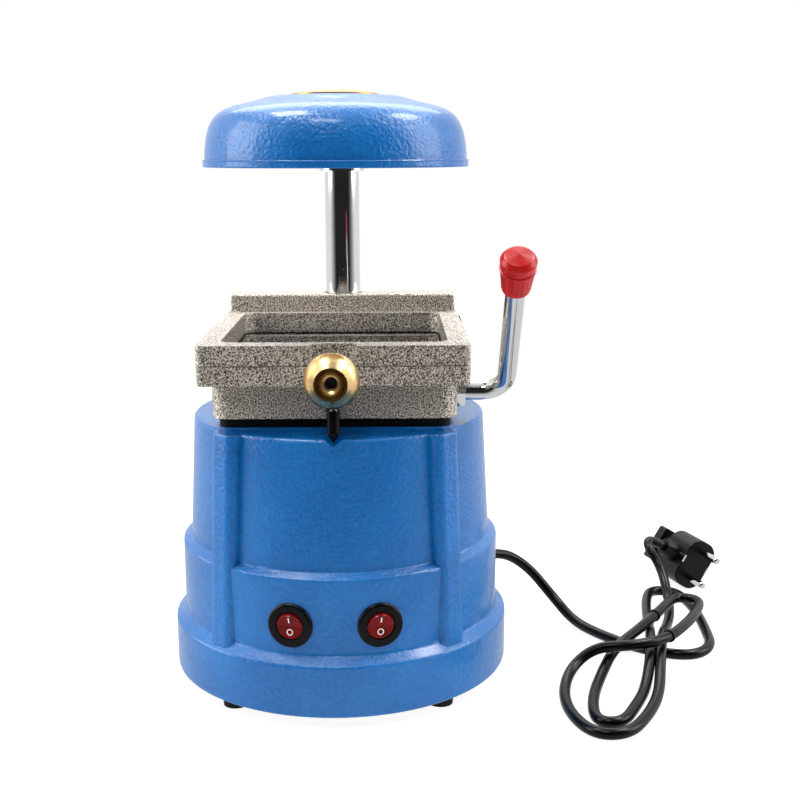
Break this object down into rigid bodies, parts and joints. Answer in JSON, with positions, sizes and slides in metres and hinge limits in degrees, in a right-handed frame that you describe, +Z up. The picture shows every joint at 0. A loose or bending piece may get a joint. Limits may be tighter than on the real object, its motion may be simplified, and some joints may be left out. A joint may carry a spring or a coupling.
{
  "type": "dental vacuum former",
  "caption": "Bench vacuum former for dental sheets: round motor base, sliding hinged clamp frame with lift lever, swing bolt and knob, and a swing-away dome heater on a column.",
  "frame": {"origin": "on the table under the axis of the round base", "axes": "+Z up, -Y towards the user at the front, +X to the user's right, where the lift lever is"},
  "size_m": [0.3462, 0.2717, 0.3273],
  "materials": {
    "blue_enamel": "gloss hammered enamel",
    "cast_frame": "coarse cast, speckled",
    "chrome": "polished",
    "steel": "satin",
    "brass": "turned",
    "rubber_black": "matt",
    "cord_black": "satin",
    "plastic_black": "satin",
    "plastic_dark": "gloss",
    "rocker_red": "gloss",
    "grip_red": "gloss",
    "ceramic": "matt",
    "coil": "satin",
    "gold": "polished",
    "plug_metal": "nickel plated"
  },
  "bodies": {
    "base": {"base_housing": "blue_enamel", "perforated_plate": "steel", "seal_gasket": "rubber_black", "bottom_plate": "steel", "rubber_feet": "rubber_black", "foot_screws": "steel", "column": "chrome", "column_grub_screws": "steel", "suction_bowl": "steel", "motor_seal": "rubber_black", "fan_can": "steel", "motor_body": "steel", "motor_stand": "steel", "column_lead": "cord_black", "switch_left": "plastic_dark", "switch_right": "plastic_dark", "terminal_block": "plastic_black", "cord_gland": "plastic_black", "mains_cord": "cord_black", "plug_body": "plastic_black", "plug_pins": "plug_metal", "plug_earth_clips": "plug_metal"},
    "carriage": {"lower_frame": "cast_frame", "slide_bush": "brass", "hinge_pin": "steel", "bolt_pivot_pin": "steel", "locating_pin": "plastic_dark", "lift_lever": "chrome", "lever_nut": "chrome", "lever_grip": "grip_red"},
    "upper": {"upper_frame": "cast_frame"},
    "bolt": {"swing_bolt": "steel"},
    "washer": {"clamp_washer": "brass"},
    "knob": {"clamp_knob": "brass"},
    "head": {"heater_dome": "blue_enamel", "head_bush": "steel", "reflector": "steel", "ceramic_element": "ceramic", "heating_coil": "coil", "element_spacer": "ceramic", "element_bolt": "steel", "element_guard": "steel", "crown_badge": "gold", "element_lead": "cord_black"},
    "rocker_a": {"rocker_left": "rocker_red"},
    "rocker_b": {"rocker_right": "rocker_red"},
    "rotor": {"rotor_shaft": "steel", "impeller": "steel"}
  },
  "joints": [
    {"name": "frame_lift", "type": "slide", "parent": "base", "child": "carriage", "axis": [0, 0, 1], "range_m": [0, 0.065]},
    {"name": "frame_open", "type": "hinge", "parent": "carriage", "child": "upper", "pos_m": [0, 0.0647, 0.1928], "axis": [-1, 0, 0], "range_deg": [0, 38]},
    {"name": "bolt_swing", "type": "hinge", "parent": "carriage", "child": "bolt", "pos_m": [0, -0.066, 0.1834], "axis": [1, 0, 0], "range_deg": [-90, 0]},
    {"name": "knob_travel", "type": "slide", "parent": "bolt", "child": "washer", "axis": [0, -1, 0], "range_m": [-0.00291, 0.00291]},
    {"name": "knob_turn", "type": "hinge", "parent": "washer", "child": "knob", "pos_m": [0, -0.09, 0.1834], "axis": [0, -1, 0], "range_deg": [-1044, 1044]},
    {"name": "head_swing", "type": "hinge", "parent": "base", "child": "head", "pos_m": [0, 0.084, 0.3], "axis": [0, 0, 1], "range_deg": [-120, 120]},
    {"name": "rocker_left_press", "type": "hinge", "parent": "base", "child": "rocker_a", "pos_m": [-0.02301, -0.08587, 0.0547], "axis": [-0.9659, 0.2588, 0], "range_deg": [0, 22]},
    {"name": "rocker_right_press", "type": "hinge", "parent": "base", "child": "rocker_b", "pos_m": [0.02301, -0.08587, 0.0547], "axis": [-0.9659, -0.2588, 0], "range_deg": [0, 22]},
    {"name": "rotor_spin", "type": "hinge", "parent": "base", "child": "rotor", "pos_m": [0, 0, 0.06], "axis": [0, 0, 1], "continuous": true}
  ],
  "couplings": [
    {"joint": "knob_travel", "follows": "knob_turn", "m_per_rad": 0.00015915}
  ]
}
